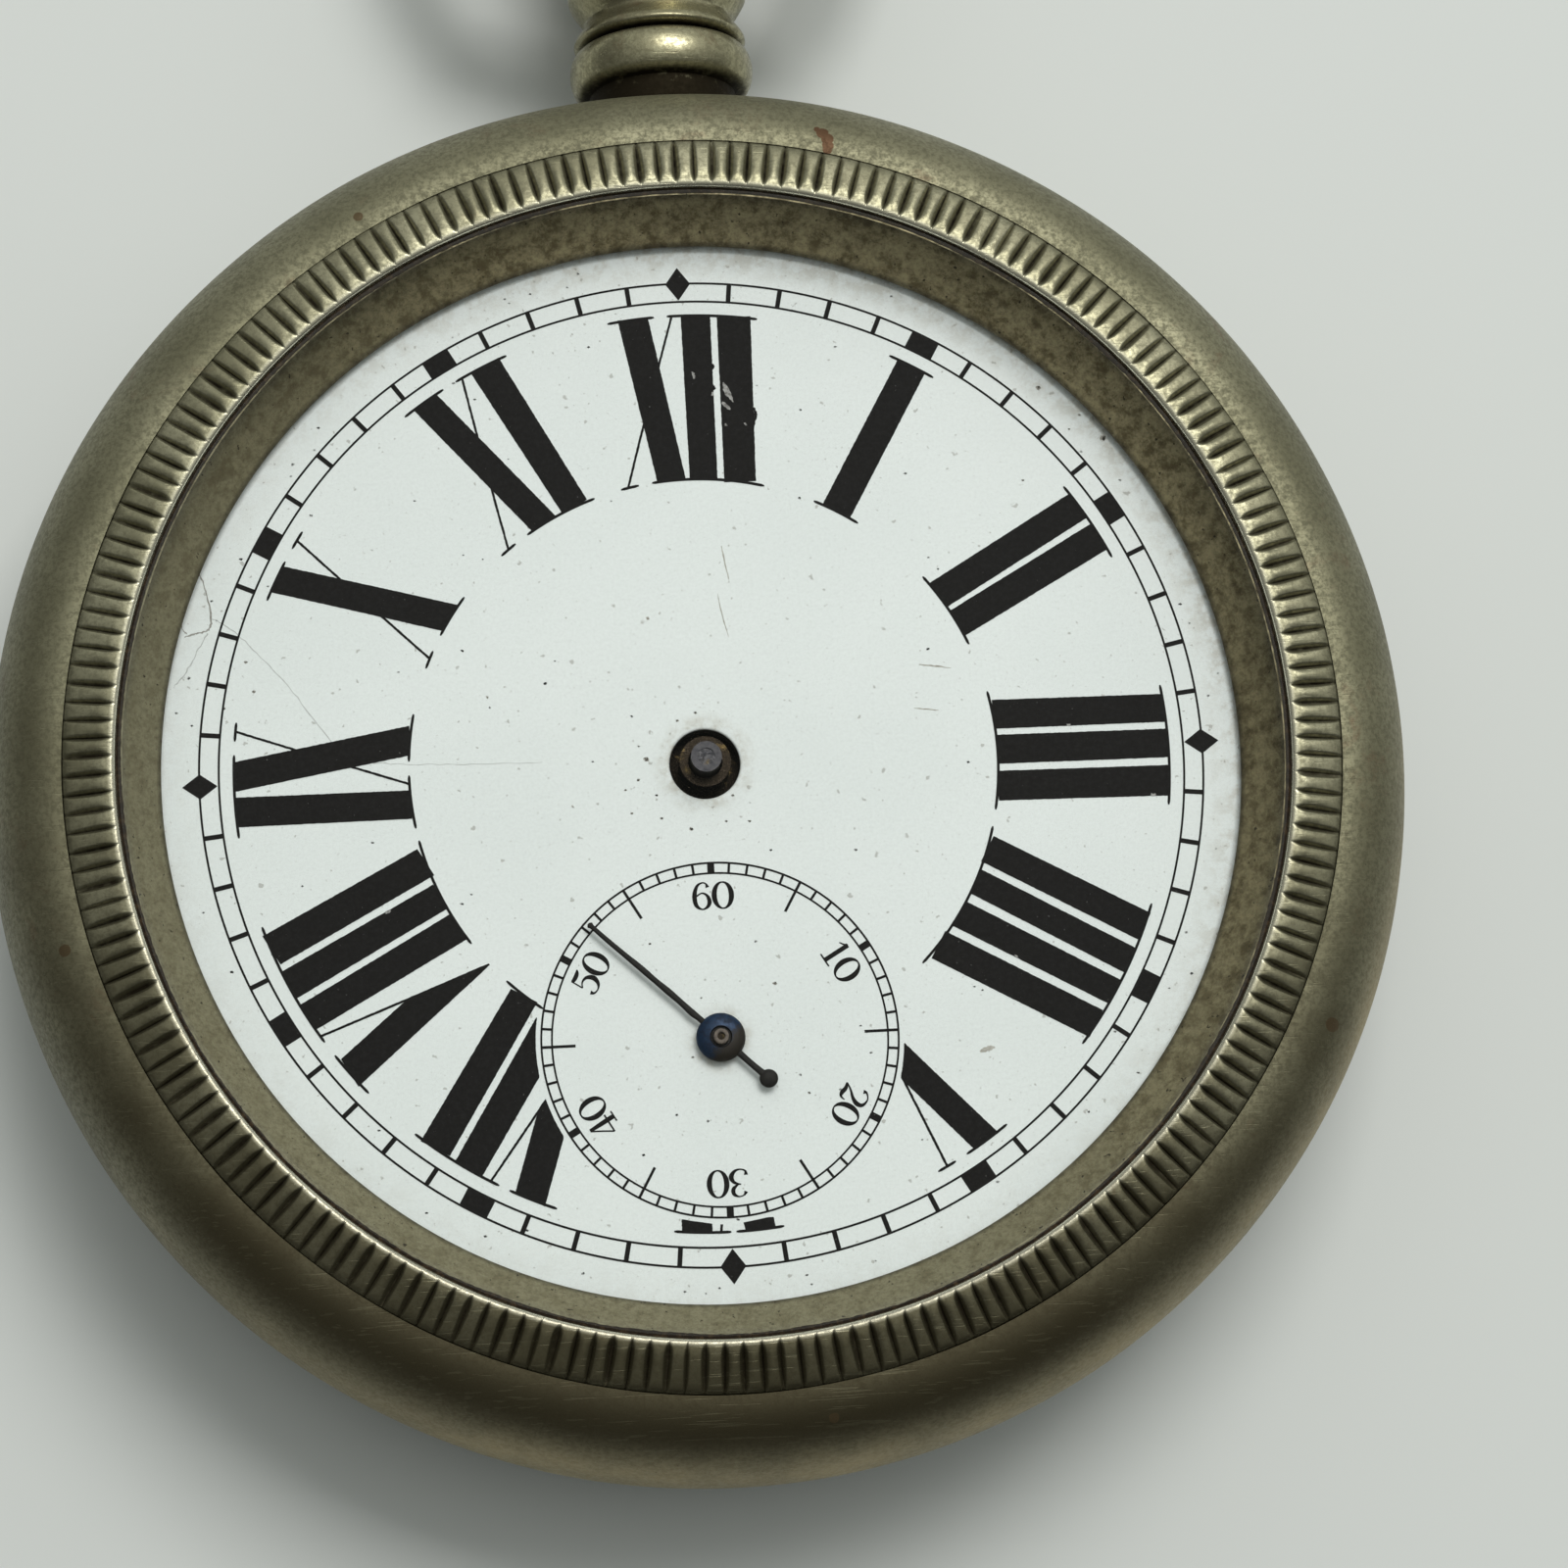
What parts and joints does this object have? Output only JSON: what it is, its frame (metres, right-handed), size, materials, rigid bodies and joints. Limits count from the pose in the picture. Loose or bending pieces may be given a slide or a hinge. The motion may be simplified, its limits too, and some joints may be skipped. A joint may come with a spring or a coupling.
{
  "type": "open face pocket watch",
  "caption": "Stem wound open face pocket watch: reeded screw bezel and back, enamel dial with Roman hours and a seconds bit, crown, swinging bow and lever movement.",
  "frame": {"origin": "centre of the case back's flat face, which the watch rests on", "axes": "+Z out of the dial, +Y towards 12 o'clock, the pendant and the bow, +X towards 3 o'clock"},
  "size_m": [0.0574, 0.0822, 0.0144],
  "materials": {
    "case_metal": "worn nickel silver, satin with brown stains",
    "bezel_metal": "worn nickel silver, reeded",
    "back_metal": "worn nickel silver, scuffed",
    "crown_metal": "worn gilt over nickel silver",
    "crystal": "clear",
    "enamel": "glossy white fired enamel",
    "blued": "blued steel",
    "steel": "grained steel",
    "gilt": "frosted gilt brass",
    "nickel": "damaskeened nickel",
    "train_brass": "polished brass",
    "ruby": "polished ruby"
  },
  "bodies": {
    "case": {"case_body": "case_metal", "pendant": "case_metal", "pendant_sleeve": "gilt", "bow_screws": "blued", "dial": "enamel", "main_plate": "gilt", "pillars": "gilt", "barrel_bridge": "nickel", "train_bridge": "nickel", "balance_cock": "nickel", "pallet_cock": "nickel", "jewels": "ruby", "plate_screws": "blued", "case_screws": "blued", "dial_screws": "steel", "crown_wheel_screw": "blued", "click_spring": "steel", "hairspring": "blued"},
    "bezel": {"bezel": "bezel_metal", "crystal": "crystal"},
    "back": {"case_back": "back_metal"},
    "bow": {"bow": "case_metal"},
    "fourth": {"fourth_wheel": "train_brass", "seconds_hand": "blued"},
    "escape": {"escape_wheel": "train_brass"},
    "third": {"third_wheel": "train_brass"},
    "centre": {"centre_wheel": "train_brass", "cannon_pinion": "steel"},
    "barrel": {"barrel": "gilt", "barrel_cover": "gilt", "mainspring": "blued"},
    "minute": {"minute_wheel": "train_brass"},
    "hour": {"hour_wheel": "train_brass"},
    "setting": {"setting_wheel": "steel"},
    "winding": {"winding_pinion": "steel"},
    "crown": {"crown": "crown_metal", "stem": "steel"},
    "clutch": {"clutch": "steel"},
    "crown_wheel": {"crown_wheel": "steel"},
    "arbor": {"barrel_arbor": "steel", "ratchet_wheel": "steel", "ratchet_screw": "blued"},
    "setting_lever": {"setting_lever": "steel"},
    "yoke": {"yoke": "steel"},
    "click": {"click": "steel"},
    "fork": {"pallet_fork": "steel"},
    "balance": {"balance_wheel": "train_brass", "balance_staff": "steel"},
    "regulator": {"regulator": "steel"}
  },
  "joints": [
    {"name": "seconds_turn", "type": "hinge", "parent": "case", "child": "fourth", "pos_m": [0, -0.01115, 0.0053], "axis": [0, 0, 1], "continuous": true},
    {"name": "escape_turn", "type": "hinge", "parent": "case", "child": "escape", "pos_m": [0.00536, -0.0149, 0.0046], "axis": [0, 0, 1], "continuous": true},
    {"name": "third_turn", "type": "hinge", "parent": "case", "child": "third", "pos_m": [-0.00726, -0.00673, 0.0042], "axis": [0, 0, 1], "continuous": true},
    {"name": "centre_turn", "type": "hinge", "parent": "case", "child": "centre", "pos_m": [0, 0, 0.006], "axis": [0, 0, 1], "continuous": true},
    {"name": "barrel_turn", "type": "hinge", "parent": "case", "child": "barrel", "pos_m": [0.00885, 0.00619, 0.0045], "axis": [0, 0, 1], "continuous": true},
    {"name": "minute_turn", "type": "hinge", "parent": "case", "child": "minute", "pos_m": [-0.00374, 0.00216, 0.0082], "axis": [0, 0, 1], "continuous": true},
    {"name": "hour_turn", "type": "hinge", "parent": "case", "child": "hour", "pos_m": [0, 0, 0.0087], "axis": [0, 0, 1], "continuous": true},
    {"name": "setting_turn", "type": "hinge", "parent": "case", "child": "setting", "pos_m": [-0.00617, 0.00637, 0.0082], "axis": [0, 0, 1], "continuous": true},
    {"name": "crown_turn", "type": "hinge", "parent": "case", "child": "winding", "pos_m": [0, 0.015, 0.0065], "axis": [0, 1, 0], "continuous": true},
    {"name": "crown_pull", "type": "slide", "parent": "winding", "child": "crown", "axis": [0, 1, 0], "range_m": [0, 0.001]},
    {"name": "clutch_slide", "type": "slide", "parent": "winding", "child": "clutch", "axis": [0, -1, 0], "range_m": [0, 0.0004]},
    {"name": "crown_wheel_turn", "type": "hinge", "parent": "case", "child": "crown_wheel", "pos_m": [0, 0.01127, 0.0083], "axis": [0, 0, 1], "continuous": true},
    {"name": "ratchet_turn", "type": "hinge", "parent": "case", "child": "arbor", "pos_m": [0.00885, 0.00619, 0.0083], "axis": [0, 0, 1], "continuous": true},
    {"name": "setting_lever_turn", "type": "hinge", "parent": "case", "child": "setting_lever", "pos_m": [-0.005, 0.0175, 0.0083], "axis": [0, 0, 1], "range_deg": [0, 11.54]},
    {"name": "yoke_turn", "type": "hinge", "parent": "case", "child": "yoke", "pos_m": [-0.0056, 0.0146, 0.006], "axis": [0, 0, 1], "range_deg": [-5.12, 0]},
    {"name": "click_turn", "type": "hinge", "parent": "case", "child": "click", "pos_m": [0.01207, 0.01417, 0.0083], "axis": [0, 0, 1], "range_deg": [0, 8]},
    {"name": "fork_rock", "type": "hinge", "parent": "case", "child": "fork", "pos_m": [0.00825, -0.01191, 0.0046], "axis": [0, 0, 1], "range_deg": [-5, 5]},
    {"name": "balance_swing", "type": "hinge", "parent": "case", "child": "balance", "pos_m": [0.012, -0.00803, 0.0031], "axis": [0, 0, 1], "range_deg": [-270, 270]},
    {"name": "regulator_turn", "type": "hinge", "parent": "case", "child": "regulator", "pos_m": [0.012, -0.00803, 0.00135], "axis": [0, 0, 1], "range_deg": [-20, 20]},
    {"name": "bow_swing", "type": "hinge", "parent": "case", "child": "bow", "pos_m": [0, 0.0359, 0.0065], "axis": [1, 0, 0], "range_deg": [-90, 90]},
    {"name": "bezel_off", "type": "slide", "parent": "case", "child": "bezel", "axis": [0, 0, 1], "range_m": [0, 0.012]},
    {"name": "back_off", "type": "slide", "parent": "case", "child": "back", "axis": [0, 0, -1], "range_m": [0, 0.012]}
  ],
  "couplings": [
    {"joint": "escape_turn", "follows": "seconds_turn", "ratio": -10},
    {"joint": "third_turn", "follows": "seconds_turn", "ratio": -0.13333},
    {"joint": "centre_turn", "follows": "seconds_turn", "ratio": 0.016667},
    {"joint": "barrel_turn", "follows": "seconds_turn", "ratio": -0.0025641},
    {"joint": "minute_turn", "follows": "seconds_turn", "ratio": -0.0055556},
    {"joint": "hour_turn", "follows": "seconds_turn", "ratio": 0.0013889},
    {"joint": "setting_turn", "follows": "seconds_turn", "ratio": 0.011111},
    {"joint": "crown_wheel_turn", "follows": "crown_turn", "ratio": -0.4},
    {"joint": "ratchet_turn", "follows": "crown_turn", "ratio": 0.31579},
    {"joint": "clutch_slide", "follows": "crown_pull", "ratio": 0.4},
    {"joint": "setting_lever_turn", "follows": "crown_pull", "rad_per_m": 201.12},
    {"joint": "yoke_turn", "follows": "crown_pull", "rad_per_m": -89.202}
  ]
}
